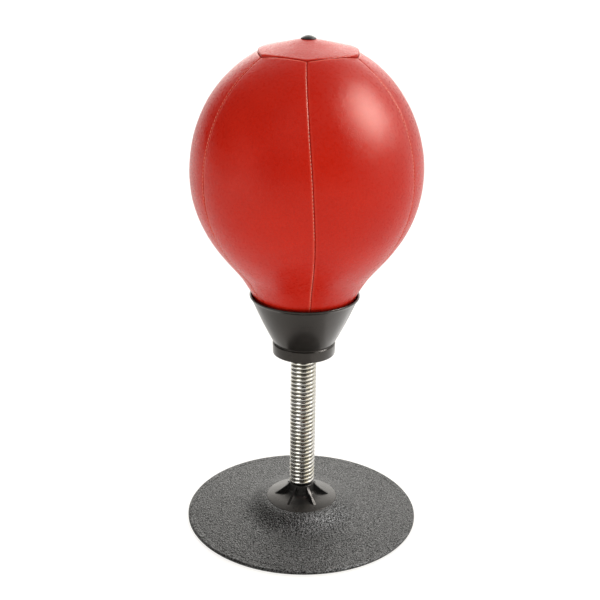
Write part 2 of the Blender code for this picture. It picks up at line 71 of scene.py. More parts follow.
# Ball cover: the same outer shape as the CAD's panels
BALL_RADIUS = 74.5 * MM
BALL_EQUATOR_HEIGHT = 246.4 * MM
BALL_TOP_HEIGHT = 329.5 * MM
SLOPE_PROBE = 1.2 * MM
NECK_RADIUS = 34.4 * MM
NECK_HEIGHT = 164.7 * MM
COVER_HOLE_RADIUS = 14 * MM
COVER_BOTTOM_HEIGHT = 136.4 * MM
COVER_THICKNESS = 0.8 * MM
GORE_COUNT = 6
SECTOR = 2 * math.pi / GORE_COUNT
FIRST_SEAM_AZIMUTH = math.radians(-87.5)
CROWN_CORNER_RADIUS = 33.4 * MM
CROWN_EDGE_RADIUS = 31.2 * MM
CROWN_APEX_HEIGHT = 330.17 * MM
CROWN_SLOPE = 0.216
CROWN_FRONT_SLOPE = 0.3
CROWN_TIP_RADIUS = 4 * MM
CROWN_STAND = 1.45 * MM
CROWN_EDGE_DROP = 0.5 * MM
CROWN_EDGE_ROUNDING = 0.6 * MM
VALVE_HOLE_RADIUS = 3.5 * MM

# Seams
SEAM_DEPTH = 0.5 * MM
SEAM_FOLD = 0.42 * MM
PUFF_DEPTH = 0.55 * MM
PUFF_REACH = 9 * MM
CROWN_ROLL = 0.4 * MM
CROWN_SHOULDER = 0.6 * MM
SEAM_GAP = 0.02 * MM
SEAM_LEAN = 2.4 * MM
SEAM_LEAN_HEIGHT = 262 * MM
STITCH_OFFSET = 0.6 * MM
STITCH_PITCH = 2.3 * MM
STITCH_LENGTH = 1.35 * MM
STITCH_RADIUS = 0.2 * MM
# How strong the painted highlight on the leather's fold is beside the left and right seams of the two
# front panels, from 0 to 1
FOLD_HIGHLIGHT = {0: (0.15, 0.8), 5: (0.8, 0.5)}

# Spring
WIRE_RADIUS = 1.3 * MM
COIL_RADIUS = 7.42 * MM
COIL_PITCH = 2.9 * MM
COIL_START_AZIMUTH = math.radians(-175)
WIRE_SIDES = 14
COIL_STEPS = 44
SWAY_JOINTS = [j for j in frame["joints"] if j["name"].startswith("sway")]

# Camera
CAMERA_PLACE = (-3.0 * MM, -686.9 * MM, 410.1 * MM)
CAMERA_PITCH = math.radians(20.02)
CAMERA_ROLL = math.radians(0.8)
CAMERA_LENS = 66.1

# Materials


class Finish:
    """A material in the making: a Principled shader and short ways to feed its sockets."""

    def __init__(self, name, colour, roughness, metallic=0.0, **sockets):
        self.material = bpy.data.materials.new(name)
        self.material.use_nodes = True
        self.tree = self.material.node_tree
        self.shader = self.tree.nodes["Principled BSDF"]
        self.set("Base Color", (*colour, 1.0))
        self.set("Roughness", roughness)
        self.set("Metallic", metallic)
        for socket, value in sockets.items():
            self.set(socket.replace("_", " "), value)
        self.position = self.node("TexCoord").outputs["Object"]

    def set(self, socket, value):
        self.feed(self.shader.inputs[socket], value)

    def feed(self, socket, value):
        if isinstance(value, bpy.types.NodeSocket):
            self.tree.links.new(value, socket)
        else:
            socket.default_value = value

    def node(self, kind, inputs=None, **settings):
        made = self.tree.nodes.new(f"ShaderNode{kind}")
        for key, value in settings.items():
            setattr(made, key, value)
        for key, value in (inputs or {}).items():
            self.feed(made.inputs[key], value)
        return made

    def noise(self, size, detail=2.0, rough=0.5, stretch=None):
        """0 to 1, in blotches about this size across."""
        vector = self.position
        if stretch:
            vector = self.node("Mapping", {"Vector": vector, "Scale": stretch}).outputs["Vector"]
        inputs = {"Vector": vector, "Scale": 1 / size, "Detail": detail, "Roughness": rough}
        return self.node("TexNoise", inputs).outputs["Fac"]

    def cells(self, size, feature="F1"):
        """Distance within cells of this size: from their centres for F1, else from their edges."""
        inputs = {"Vector": self.position, "Scale": 1 / size}
        return self.node("TexVoronoi", inputs, feature=feature).outputs["Distance"]

    def attribute(self, name):
        return self.node("Attribute", attribute_name=name).outputs["Fac"]

    def spread(self, value, low, high, start=0.0, end=1.0):
        inputs = {"Value": value, "From Min": low, "From Max": high, "To Min": start, "To Max": end}
        return self.node("MapRange", inputs).outputs["Result"]

    def mix(self, share, first, second):
        made = self.node("Mix", data_type="RGBA")
        self.feed(made.inputs["Factor"], share)
        for socket, colour in (("A", first), ("B", second)):
            target = next(s for s in made.inputs if s.name == socket and s.type == "RGBA")
            self.feed(target, colour if isinstance(colour, bpy.types.NodeSocket) else (*colour, 1.0))
        return next(s for s in made.outputs if s.type == "RGBA")

    def bump(self, height, distance, below=None):
        inputs = {"Height": height, "Distance": distance, "Strength": 1.0}
        if below:
            inputs["Normal"] = below
        return self.node("Bump", inputs).outputs["Normal"]


def red_leather():
    """Coated leather: fine grain, soft wrinkles, painted shade in the seams and a painted highlight on
    the folds there.
    """
    made = Finish("red_leather_finish", (0.56, 0.014, 0.005), 0.3, Specular_IOR_Level=0.2)
    made.set("Specular Tint", (1.0, 0.92, 0.78, 1.0))
    tone = made.noise(38 * MM, 3.0)
    colour = made.mix(made.spread(tone, 0.3, 0.7), (0.54, 0.012, 0.004), (0.6, 0.017, 0.006))
    mottle = made.noise(1.6 * MM, 3.0)
    colour = made.mix(made.spread(mottle, 0.35, 0.75, 0.0, 0.3), colour, (0.46, 0.009, 0.003))
    # Painted highlight: the pale fold colour beside the seams stands in for light caught by the folded
    # leather edge
    colour = made.mix(made.attribute("fold"), colour, (0.85, 0.11, 0.065))
    # Painted shade: the darker colour in the seam grooves stands in for the shadow there
    colour = made.mix(made.attribute("groove_shade"), colour, (0.45, 0.009, 0.003))
    made.set("Base Color", colour)
    grain = made.cells(0.9 * MM, "DISTANCE_TO_EDGE")
    fine = made.bump(made.spread(grain, 0.0, 0.25), 0.028 * MM)
    creases = made.cells(3.2 * MM, "DISTANCE_TO_EDGE")
    creased = made.bump(made.spread(creases, 0.0, 0.12), 0.02 * MM, fine)
    soft = made.bump(made.noise(7 * MM, 4.0, 0.6), 0.08 * MM, creased)
    made.set("Normal", soft)
    made.set("Roughness", made.spread(made.noise(2.2 * MM, 4.0), 0.3, 0.7, 0.24, 0.34))
    return made.material


def thread():
    made = Finish("thread_finish", (0.85, 0.35, 0.25), 0.6)
    strands = made.noise(0.25 * MM, 2.0)
    made.set("Base Color", made.mix(strands, (0.75, 0.2, 0.13), (0.95, 0.45, 0.34)))
    made.set("Normal", made.bump(strands, 0.05 * MM))
    return made.material


def black_plastic(name="black_plastic_finish", colour=(0.012, 0.0105, 0.009), low=0.16, high=0.26):
    """Moulded plastic, half gloss, with faint flow marks and a little handling wear."""
    made = Finish(name, colour, low, Specular_IOR_Level=0.38, Specular_Tint=(1.0, 0.92, 0.85, 1.0))
    wear = made.noise(9 * MM, 5.0, 0.6)
    made.set("Roughness", made.spread(wear, 0.3, 0.75, low, high))
    lighter = tuple(c * 1.5 for c in colour)
    made.set("Base Color", made.mix(made.spread(wear, 0.45, 0.8), colour, lighter))
    flow = made.bump(made.noise(14 * MM, 2.0), 0.12 * MM)
    made.set("Normal", made.bump(made.noise(0.5 * MM, 2.0), 0.008 * MM, flow))
    return made.material


def stippled_rubber():
    """Flexible rubber, moulded with a fine stipple of raised grains that shine more than the gaps."""
    made = Finish("stippled_rubber_finish", (0.02, 0.02, 0.019), 0.45)
    grains = made.spread(made.cells(1.3 * MM), 0.1, 0.6, 1.0, 0.0)
    speck = made.spread(made.noise(0.9 * MM, 1.0, 0.6), 0.4, 0.6)
    tone = made.node("Math", {0: grains, 1: speck}, operation="MULTIPLY").outputs[0]
    colour = made.mix(made.spread(tone, 0.05, 0.75), (0.006, 0.006, 0.0055), (0.034, 0.0335, 0.031))
    dust = made.noise(26 * MM, 4.0, 0.6)
    dusty = made.spread(dust, 0.5, 0.8, 0.0, 0.15)
    made.set("Base Color", made.mix(dusty, colour, (0.06, 0.059, 0.055)))
    made.set("Specular IOR Level", made.spread(speck, 0.0, 1.0, 0.12, 1.08))
    made.set("Roughness", made.spread(grains, 0.0, 1.0, 0.46, 0.33))
    raised = made.bump(grains, 0.2 * MM)
    made.set("Normal", made.bump(speck, 0.16 * MM, raised))
    return made.material


def bright_wire():
    """Bright drawn steel wire with fine die lines and a warm tint in places."""
    made = Finish("bright_wire_finish", (0.5, 0.485, 0.45), 0.2, 1.0)
    tint = made.noise(6 * MM, 3.0)
    warmth = made.spread(tint, 0.35, 0.7)
    made.set("Base Color", made.mix(warmth, (0.53, 0.52, 0.5), (0.45, 0.43, 0.37)))
    lines = made.noise(0.5 * MM, 2.0, stretch=(1.0, 1.0, 6.0))
    made.set("Roughness", made.spread(lines, 0.3, 0.7, 0.16, 0.3))
    made.set("Normal", made.bump(lines, 0.01 * MM))
    return made.material


def turned_metal(name, colour, roughness):
    """Machined or plated metal with fine turning rings and dull patches."""
    made = Finish(name, colour, roughness, 1.0)
    inputs = {"Vector": made.position, "Scale": 1 / (2 * MM), "Distortion": 0.6, "Detail": 2.0}
    rings = made.node("TexWave", inputs, bands_direction="Z")
    made.set("Normal", made.bump(rings.outputs["Fac"], 0.02 * MM))
    patches = made.noise(3 * MM, 3.0)
    made.set("Roughness", made.spread(patches, 0.3, 0.7, roughness * 0.8, roughness * 1.4))
    return made.material


def soft_rubber(name, colour, roughness):
    """Plain moulded rubber with a dusty, finely pitted skin."""
    made = Finish(name, colour, roughness)
    dust = made.noise(4 * MM, 4.0, 0.6)
    lighter = tuple(c * 1.5 + 0.004 for c in colour)
    made.set("Base Color", made.mix(made.spread(dust, 0.4, 0.8), colour, lighter))
    made.set("Roughness", made.spread(dust, 0.3, 0.7, roughness * 0.85, min(1.0, roughness * 1.2)))
    made.set("Normal", made.bump(made.noise(0.4 * MM, 2.0), 0.03 * MM))
    return made.material


# Shape helpers


def add_piece(name, mesh, material, body, replaces=()):
    """A shown piece, drawn in the row frame, that rides on a CAD body."""
    mesh.materials.append(material)
    piece = bpy.data.objects.new(name, mesh)
    bpy.context.scene.collection.objects.link(piece)
    if body:
        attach(piece, body)
    if replaces:
        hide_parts(*replaces)
    return piece


def mesh_of(name, points, faces, sharp_degrees=None):
    mesh = bpy.data.meshes.new(name)
    mesh.from_pydata([tuple(p) for p in points], [], faces)
    mesh.validate()
    mesh.shade_smooth()
    if sharp_degrees:
        mesh.set_sharp_from_angle(angle=math.radians(sharp_degrees))
    return mesh


def turned(name, outline, segments=144, sharp_degrees=35):
    """A solid turned about Z from a closed outline of (radius, height) points, run through clockwise."""
    on_axis = [r < 1e-9 for r, _ in outline]
    starts = []
    points = []
    for (r, z), axis in zip(outline, on_axis):
        starts.append(len(points))
        turns = 1 if axis else segments
        for j in range(turns):
            angle = 2 * math.pi * j / segments
            points.append((r * math.cos(angle), r * math.sin(angle), z))
    faces = []
    for i in range(len(outline)):
        k = (i + 1) % len(outline)
        if on_axis[i] and on_axis[k]:
            continue
        for j in range(segments):
            n = (j + 1) % segments
            corners = [
                starts[i] + (0 if on_axis[i] else j),
                starts[k] + (0 if on_axis[k] else j),
                starts[k] + (0 if on_axis[k] else n),
                starts[i] + (0 if on_axis[i] else n),
            ]
            faces.append(tuple(dict.fromkeys(corners)))
    mesh = mesh_of(name, points, faces, sharp_degrees)
    turn_outwards(mesh)
    return mesh


def turn_outwards(mesh):
    bm = bmesh.new()
    bm.from_mesh(mesh)
    bmesh.ops.recalc_face_normals(bm, faces=bm.faces)
    bm.to_mesh(mesh)
    bm.free()


def bezier(start, start_handle, end_handle, end, steps):
    """Points of a cubic curve in (radius, height), without its start."""
    corners = [Vector(p) for p in (start, start_handle, end_handle, end)]
    made = []
    for i in range(1, steps + 1):
        t = i / steps
        weights = ((1 - t) ** 3, 3 * (1 - t) ** 2 * t, 3 * (1 - t) * t**2, t**3)
        made.append(tuple(sum((w * c for w, c in zip(weights, corners)), Vector((0.0, 0.0)))))
    return made


def rounded(outline, radii, steps=4):
    """The outline with the corners named in radii, as {index: radius}, turned into short curves."""
    made = []
    count = len(outline)
    for i, point in enumerate(outline):
        if i not in radii:
            made.append(point)
            continue
        corner = Vector(point)
        before = Vector(outline[i - 1]) - corner
        after = Vector(outline[(i + 1) % count]) - corner
        start = corner + before.normalized() * min(radii[i], before.length * 0.45)
        end = corner + after.normalized() * min(radii[i], after.length * 0.45)
        made.append(tuple(start))
        made += bezier(start, start.lerp(corner, 0.55), end.lerp(corner, 0.55), end, steps)
    return made


# The ball


def ball_side():
    """Outer points of the ball from its top to the hole at its bottom, as its stretches one by one."""
    rise = BALL_TOP_HEIGHT - BALL_EQUATOR_HEIGHT
    upper = []
    for i in range(61):
        angle = math.pi / 2 * (1 - i / 60)
        upper.append((BALL_RADIUS * math.cos(angle), BALL_EQUATOR_HEIGHT + rise * math.sin(angle)))
    belly_end = (45.4 * MM, 182.3 * MM)
    belly = bezier(upper[-1], (BALL_RADIUS, 213.5 * MM), (53.7 * MM, 192.1 * MM), belly_end, 48)
    neck_end = (NECK_RADIUS, NECK_HEIGHT)
    neck = bezier(belly_end, (41.4 * MM, 177.7 * MM), (37.1 * MM, 170.1 * MM), neck_end, 20)
    inside_cup = (24.1 * MM, 144.1 * MM)
    hole = (COVER_HOLE_RADIUS, COVER_BOTTOM_HEIGHT)
    bend = bezier(inside_cup, (21.6 * MM, 139.1 * MM), (19.8 * MM, COVER_BOTTOM_HEIGHT), hole, 10)
    return upper + belly + neck + [inside_cup] + bend


class Side:
    """The ball's side by length: how far down it a point lies, from the top of the ball."""

    def __init__(self):
        self.points = np.array(ball_side())
        steps = np.hypot(*np.diff(self.points, axis=0).T)
        self.lengths = np.concatenate([[0.0], np.cumsum(steps)])
        self.total = self.lengths[-1]

    def at(self, length, depth):
        """Radius and height, as arrays, at these lengths and set back by depth under the surface."""
        radius, height = self.outer(length)
        radius_above, height_above = self.outer(np.maximum(0.0, length - SLOPE_PROBE))
        radius_below, height_below = self.outer(np.minimum(self.total, length + SLOPE_PROBE))
        across = radius_below - radius_above
        down = height_below - height_above
        size = np.hypot(across, down)
        return radius + down / size * depth, height - across / size * depth

    def outer(self, length):
        """Radius and height of the surface itself at these lengths."""
        return tuple(np.interp(length, self.lengths, self.points[:, k]) for k in (0, 1))

    def length_at_radius(self, radius):
        """The length at which the upper half reaches this radius."""
        upper = int(np.argmax(self.points[:, 0])) + 1
        return np.interp(radius, self.points[:upper, 0], self.lengths[:upper])

    def length_at_height(self, height):
        return float(np.interp(-height, -self.points[:, 1], self.lengths))


def panel_azimuth(turns, height):
    """Azimuth of a place that is this many panels round from the front seam, which leans a little."""
    from_front = (turns + GORE_COUNT / 2) % GORE_COUNT - GORE_COUNT / 2
    share = np.clip(1 - np.abs(from_front), 0.0, 1.0)
    below = np.clip((SEAM_LEAN_HEIGHT - height) / (60 * MM), -1.0, 1.0)
    arc = SEAM_LEAN * np.sin(below * math.pi / 2)
    heights = [NECK_HEIGHT, BALL_EQUATOR_HEIGHT, 322 * MM]
    radius = np.interp(height, heights, [NECK_RADIUS, BALL_RADIUS, 34 * MM])
    return FIRST_SEAM_AZIMUTH + SECTOR * turns + share * arc / radius


def crown_edge(turns):
    """Radius of the crown's edge: a hexagon with corners on the seams and edges bowed outwards."""
    from_middle = (turns % 1.0 - 0.5) * SECTOR
    bow = math.log(CROWN_CORNER_RADIUS / CROWN_EDGE_RADIUS) / math.log(1 / math.cos(SECTOR / 2))
    return CROWN_EDGE_RADIUS * np.cos(from_middle) ** -bow


def uneven(points, size, seed):
    """Smooth noise from -1 to 1 at each point, in bumps about this size."""
    offset = Vector((seed * 7.31, seed * 3.17, seed * 5.71))
    return np.array([noise.noise(Vector(p) / size + offset) for p in points])


def leather_depth(distance, points, azimuth, height, seed):
    """How far the leather lies under the ball's plain shape. distance is to the nearest seam."""
    fold = SEAM_DEPTH * np.exp(-((distance / SEAM_FOLD) ** 1.4))
    puff = PUFF_DEPTH * np.exp(-distance / PUFF_REACH)
    near = np.exp(-distance / (5 * MM))
    pucker = 0.16 * MM * near * uneven(points, 5 * MM, seed)
    broad = 0.22 * MM * uneven(points, 30 * MM, seed + 1) + 0.1 * MM * uneven(points, 12 * MM, seed + 2)
    to_rim = np.clip((NECK_HEIGHT + 22 * MM - height) / (22 * MM), 0.0, 1.0)
    gathers = 0.14 * MM * to_rim**2 * np.sin(azimuth * 41 + 2.0 * np.sin(azimuth * 7))
    return fold + puff + pucker + broad + gathers


def surface_points(side, length, azimuth, depth):
    radius, height = side.at(length, depth)
    return np.stack([radius * np.cos(azimuth), radius * np.sin(azimuth), height], axis=-1)


def skin_mesh(name, side, length, azimuth, seam_distance, seed, wrap, raise_by=0.0, fold_highlight=0.2):
    """A panel's outer skin on a grid of lengths and azimuths, with the painted shade in its seams and
    the painted highlight on their folds as attributes.
    """
    plain = surface_points(side, length, azimuth, 0.0)
    flat = plain.reshape(-1, 3)
    depth = leather_depth(seam_distance.ravel(), flat, azimuth.ravel(), flat[:, 2], seed)
    depth -= np.ravel(raise_by)
    points = surface_points(side, length.ravel(), azimuth.ravel(), depth)
    rows, columns = length.shape
    faces = []
    for i in range(rows - 1):
        for j in range(columns if wrap else columns - 1):
            k = (j + 1) % columns
            upper = i * columns
            lower = upper + columns
            faces.append((upper + j, lower + j, lower + k, upper + k))
    mesh = mesh_of(name, points, faces)
    distance = seam_distance.ravel()
    # Painted shade along the seam groove
    groove_shade = np.exp(-((distance / (0.34 * MM)) ** 2))
    # Painted highlight on the fold beside the seam, scaled for each column
    fold = np.ravel(fold_highlight) * np.exp(-(((distance - 0.85 * MM) / (0.42 * MM)) ** 2))
    for key, values in (("groove_shade", groove_shade), ("fold", fold)):
        mesh.attributes.new(key, "FLOAT", "POINT").data.foreach_set("value", values.astype(np.float32))
    return mesh


def give_thickness(piece):
    modifier = piece.modifiers.new("thickness", "SOLIDIFY")
    modifier.thickness = COVER_THICKNESS
    modifier.offset = -1.0


def seam_shares():
    """Shares of a panel's width at which it has its columns, closer together beside its seams."""
    width = BALL_RADIUS * SECTOR
    near = [0.0, 0.2, 0.4, 0.6, 0.8, 1.05, 1.35, 1.8, 2.5, 3.5, 5.0, 7.0]
    far = [9.5, 12.5, 16, 20, 24, 28.5, 33.5]
    half = [step * MM / width for step in near + far]
    return np.array(half + [0.5] + [1 - share for share in reversed(half)])


def gore_rows(side, start):
    """Shares of the way down a panel at which it has its rows, closer together where it shows."""
    rim = (side.length_at_height(NECK_HEIGHT - 4 * MM) - start) / (side.total - start)
    near_crown = np.array([0.0, 0.25, 0.5, 0.8, 1.2, 1.8, 2.5]) * MM / (side.total - start)
    shown = np.linspace(3.3 * MM / (side.total - start), rim, 225)
    return np.concatenate([near_crown, shown, np.linspace(rim, 1.0, 16)[1:]])


def make_gore(side, k, material):
    shares = seam_shares()
    start = side.length_at_radius(crown_edge(k + shares)) + SEAM_GAP / 2
    rows = gore_rows(side, float(start.min()))
    length = start[None, :] + (side.total - start)[None, :] * rows[:, None]
    radius, height = side.at(length, 0.0)
    to_side = np.minimum(shares, 1 - shares)[None, :] * SECTOR * radius
    to_crown = length - start[None, :]
    distance = np.minimum(to_side, to_crown)
    # Strength of the painted fold highlight: full beside the crown's seam, and given for each side
    # beside the others
    left, right = FOLD_HIGHLIGHT.get(k, (0.3, 0.3))
    fold_highlight = np.where(to_crown < to_side, 1.0, np.where(shares < 0.5, left, right)[None, :])
    azimuth = panel_azimuth(np.broadcast_to(k + shares, length.shape), height)
    narrowed = azimuth + (1 - 2 * shares)[None, :] * SEAM_GAP / 2 / radius
    name = f"leather_panel_{k + 1}"
    shoulder = CROWN_SHOULDER * np.exp(-to_crown / (6 * MM))
    mesh = skin_mesh(name, side, length, narrowed, distance, 11 + 5 * k, False, shoulder, fold_highlight)
    piece = add_piece(name, mesh, material, "ball", [f"cover_gore_{k + 1}"])
    give_thickness(piece)


def make_crown(side, material):
    columns = 240
    turns = GORE_COUNT * np.arange(columns) / columns
    end = side.length_at_radius(crown_edge(turns)) - SEAM_GAP / 2
    start = side.length_at_radius(VALVE_HOLE_RADIUS)
    from_edge = np.array([0.0, 0.2, 0.4, 0.6, 0.8, 1.05, 1.35, 1.8, 2.5, 3.4, 4.5]) * MM
    inner = np.linspace(0.0, 1.0, 20)
    length = [start + (end - from_edge[-1] - start) * share for share in inner]
    length += [end - step for step in from_edge[-2::-1]]
    length = np.array(length)
    distance = end[None, :] - length
    radius, height = side.at(length, 0.0)
    _, edge_height = side.at(end, 0.0)
    all_turns = np.broadcast_to(turns, length.shape)
    azimuth = panel_azimuth(all_turns, np.broadcast_to(edge_height, length.shape))
    to_front = np.maximum(0.0, -np.sin(azimuth))
    slope = CROWN_SLOPE + (CROWN_FRONT_SLOPE - CROWN_SLOPE) * to_front
    from_tip = np.hypot(radius, CROWN_TIP_RADIUS) - CROWN_TIP_RADIUS
    cone = CROWN_APEX_HEIGHT - slope * from_tip
    most = CROWN_STAND - CROWN_EDGE_DROP * np.exp(-distance / CROWN_EDGE_ROUNDING)
    stand = np.minimum(0.93 * (cone - height), most)
    stand *= 1 - np.exp(-((distance / CROWN_ROLL) ** 1.3))
    raise_by = stand + PUFF_DEPTH * np.exp(-distance / PUFF_REACH)
    mesh = skin_mesh("leather_crown", side, length, azimuth, distance, 71, True, raise_by)
    piece = add_piece("leather_crown", mesh, material, "ball", ["cover_crown"])
    give_thickness(piece)


def capsule(points, faces, start, end, radius, sides=6):
    """Adds a short thread from start to end, thinner at its ends, to the lists of points and faces."""
    along = end - start
    first = along.orthogonal().normalized()
    second = along.normalized().cross(first)
    rings = ((0.0, 0.35), (0.18, 0.9), (0.5, 1.0), (0.82, 0.9), (1.0, 0.35))
    base = len(points)
    for share, size in rings:
        for s in range(sides):
            angle = 2 * math.pi * s / sides
            out = first * math.cos(angle) + second * math.sin(angle)
            points.append(start + along * share + out * radius * size)
    for i in range(len(rings) - 1):
        for s in range(sides):
            n = (s + 1) % sides
            a = base + i * sides
            faces.append((a + s, a + n, a + sides + n, a + sides + s))
    faces.append(tuple(base + s for s in reversed(range(sides))))
    faces.append(tuple(base + (len(rings) - 1) * sides + s for s in range(sides)))


def stitch_line(name, centres, material):
    """Stitches along a line of points that are one pitch apart."""
    points = []
    faces = []
    share = STITCH_LENGTH / STITCH_PITCH / 2
    for before, after in zip(centres, centres[1:]):
        middle = (before + after) / 2
        start = middle.lerp(before, 2 * share)
        end = middle.lerp(after, 2 * share)
        capsule(points, faces, start, end, STITCH_RADIUS)
    add_piece(name, mesh_of(name, points, faces), material, "ball")


def make_stitches(side, material):
    end = side.length_at_height(NECK_HEIGHT)
    for k in range(GORE_COUNT):
        start = float(side.length_at_radius(CROWN_CORNER_RADIUS)) + 1.5 * MM
        count = int((end - start) / STITCH_PITCH)
        lengths = start + STITCH_PITCH * np.arange(count + 1)
        radius, height = side.at(lengths, 0.0)
        sunk = 0.16 * MM * np.exp(-(((height - 222 * MM) / (38 * MM)) ** 2))
        azimuth = panel_azimuth(np.full(height.shape, float(k)), height) - STITCH_OFFSET / radius
        line = surface_points(side, lengths, azimuth, PUFF_DEPTH + sunk)
        stitch_line(f"seam_stitches_{k + 1}", [Vector(p) for p in line], material)
    perimeter = 2 * math.pi * CROWN_EDGE_RADIUS * 1.03
    count = GORE_COUNT * round(perimeter / STITCH_PITCH / GORE_COUNT)
    turns = GORE_COUNT * np.arange(count + 1) / count
    lengths = side.length_at_radius(crown_edge(turns)) + STITCH_OFFSET
    _, height = side.at(lengths, 0.0)
    line = surface_points(side, lengths, panel_azimuth(turns, height), PUFF_DEPTH)
    stitch_line("crown_stitches", [Vector(p) for p in line], material)


def make_valve_plug(material):
    """The rubber plug in the crown: a low peaked dome and the stem under it."""
    low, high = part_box("valve_plug")
    foot = 329.7 * MM
    radius = high.x
    edge = foot + 0.45 * MM
    shoulder = (4.4 * MM, edge + 0.6 * MM)
    dome = bezier((0.0, high.z), (2.2 * MM, high.z - 0.1 * MM), shoulder, (radius, edge), 12)
    stem = 1.4 * MM
    outline = [
        (0.0, high.z),
        *dome,
        (radius - 0.1 * MM, foot),
        (stem, foot),
        (stem, low.z + 0.8 * MM),
        (0.0, low.z),
    ]
    mesh = turned("plug_dome", outline, 64, 50)
    add_piece("plug_dome", mesh, material, "plug", ["valve_plug"])


# The cup


def make_cup(material):
    """The cup with its lip, collar and socket, on the CAD cup's outline with rounded corners."""
    low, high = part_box("ball_cup")
    rim = (36.5 * MM, high.z)
    wall_top = (35.5 * MM, high.z - 2.0 * MM)
    neck = (20.7 * MM, 131.6 * MM)
    wall = bezier(wall_top, (31.4 * MM, 153.5 * MM), (27.6 * MM, 144 * MM), neck, 40)
    inside = [(r - 1.7 * MM, z) for r, z in wall if z > 135 * MM]
    ledge = bezier(neck, (20.1 * MM, 130.7 * MM), (20.6 * MM, 130.5 * MM), (20.9 * MM, 130.45 * MM), 6)
    collar_radius = 21.1 * MM
    collar_bottom = 122.9 * MM
    floor = 134 * MM
    outline = [
        (rim[0] - 0.9 * MM, rim[1]),
        rim,
        (rim[0], high.z - 1.3 * MM),
        wall_top,
        *wall,
        *ledge,
        (collar_radius, 130.1 * MM),
        (collar_radius - 0.2 * MM, collar_bottom),
        (collar_radius - 2 * MM, collar_bottom),
        (collar_radius - 2 * MM, 128.5 * MM),
        (11.4 * MM, 128.5 * MM),
        (11.4 * MM, 121.4 * MM),
        (9.1 * MM, 121.4 * MM),
        (9.1 * MM, 130.7 * MM),
        (5.4 * MM, 130.7 * MM),
        (5.4 * MM, low.z),
        (2.3 * MM, low.z),
        (2.3 * MM, floor),
        (inside[-1][0] - 1 * MM, floor),
        *reversed(inside),
        (rim[0] - 1.5 * MM, high.z - 0.6 * MM),
    ]
    collar = 4 + len(wall) + len(ledge)
    radii = {0: 0.3 * MM, 1: 0.4 * MM, 2: 0.4 * MM, 3: 0.8 * MM, collar: 0.25 * MM, collar + 1: 0.6 * MM}
    radii.update({collar + 4: 0.6 * MM, collar + 5: 0.5 * MM})
    mesh = turned("cup", rounded(outline, radii), 160, 50)
    return add_piece("cup", mesh, material, "ball", ["ball_cup"])


# The spring


def wire_mesh(name, bottom, top, first):
    """The wire's turns between two heights. first is the height where the whole wire starts."""
    rise = COIL_PITCH / (2 * math.pi)
    start, end = ((z - first) / rise for z in (bottom, top))
    count = max(2, math.ceil((end - start) / (2 * math.pi) * COIL_STEPS)) + 1
    points = []
    for angle in np.linspace(start, end, count):
        azimuth = COIL_START_AZIMUTH + angle
        out = Vector((math.cos(azimuth), math.sin(azimuth), 0.0))
        around = Vector((-math.sin(azimuth) * COIL_RADIUS, math.cos(azimuth) * COIL_RADIUS, rise))
        along = around.normalized()
        up = out.cross(along) * -1.0
        centre = out * COIL_RADIUS + Vector((0.0, 0.0, first + angle * rise))
        for s in range(WIRE_SIDES):
            turn = 2 * math.pi * s / WIRE_SIDES
            points.append(centre + (out * math.cos(turn) + up * math.sin(turn)) * WIRE_RADIUS)
    faces = []
    for i in range(count - 1):
        for s in range(WIRE_SIDES):
            n = (s + 1) % WIRE_SIDES
            a = i * WIRE_SIDES
            faces.append((a + s, a + n, a + WIRE_SIDES + n, a + WIRE_SIDES + s))
    faces.append(tuple(reversed(range(WIRE_SIDES))))
    faces.append(tuple((count - 1) * WIRE_SIDES + s for s in range(WIRE_SIDES)))
    mesh = mesh_of(name, points, faces, 60)
    turn_outwards(mesh)
    return mesh


def make_spring(material):
    """The spring as rigid ends on their bodies and one stretch for each sway hinge, which rides on no
    body.
    """
    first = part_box("spring_coils_1")[0].z + WIRE_RADIUS
    last_node = f"spring_coils_{len(SWAY_JOINTS) + 1}"
    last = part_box(last_node)[1].z - WIRE_RADIUS
    heights = [j["pos_m"][2] for j in SWAY_JOINTS]
    half = (heights[1] - heights[0]) / 2
    cuts = [heights[0] - half] + [z + half for z in heights]
    mesh = wire_mesh("spring_foot", first, cuts[0], first)
    pieces = [add_piece("spring_foot", mesh, material, "pedestal", ["spring_coils_1"])]
    for k, joint in enumerate(SWAY_JOINTS):
        name = f"spring_stretch_{k + 1}"
        mesh = wire_mesh(name, cuts[k], cuts[k + 1], first)
        piece = add_piece(name, mesh, material, None, [f"spring_coils_{k + 2}"])
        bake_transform(piece)
        pieces.append(piece)
    mesh = wire_mesh("spring_head", cuts[-1], last, first)
    top_body = SWAY_JOINTS[-1]["child"]
    pieces.append(add_piece("spring_head", mesh, material, top_body, [last_node]))
    return pieces


# The base


def fin_plate(points, faces, azimuth, foot):
    """Adds one fin to the lists: a plate under a hollow curve from the spring's foot to its tip."""
    top = (8.7 * MM, 23.2 * MM)
    tip = (18.9 * MM, 14.4 * MM)
    root = 7 * MM
    thickness = 1.7 * MM
    top_handle = (top[0] + 2.4 * MM, top[1] - 3.6 * MM)
    tip_handle = (tip[0] - 3.2 * MM, tip[1] + 2.2 * MM)
    edge = bezier(top, top_handle, tip_handle, tip, 14)
    outline = [(root, top[1]), top, *edge, (tip[0] - 0.4 * MM, foot), (root, foot)]
    turn = Matrix.Rotation(azimuth, 3, "Z")
    round_off = 0.3 * MM
    base = len(points)
    count = len(outline)
    middle = Vector((sum(r for r, _ in outline) / count, sum(z for _, z in outline) / count))
    # Places across the thickness, and how far the outline is pulled in there
    layers = ((-0.5, round_off), (-0.5 + 0.18, 0.0), (0.5 - 0.18, 0.0), (0.5, round_off))
    for share, inset in layers:
        for r, z in outline:
            pull = (middle - Vector((r, z))).normalized() * inset
            points.append(turn @ Vector((r + pull.x, share * thickness, z + pull.y)))
    for i in range(len(layers) - 1):
        for s in range(count):
            n = (s + 1) % count
            a = base + i * count
            faces.append((a + s, a + n, a + count + n, a + count + s))
    faces.append(tuple(base + s for s in reversed(range(count))))
    faces.append(tuple(base + (len(layers) - 1) * count + s for s in range(count)))


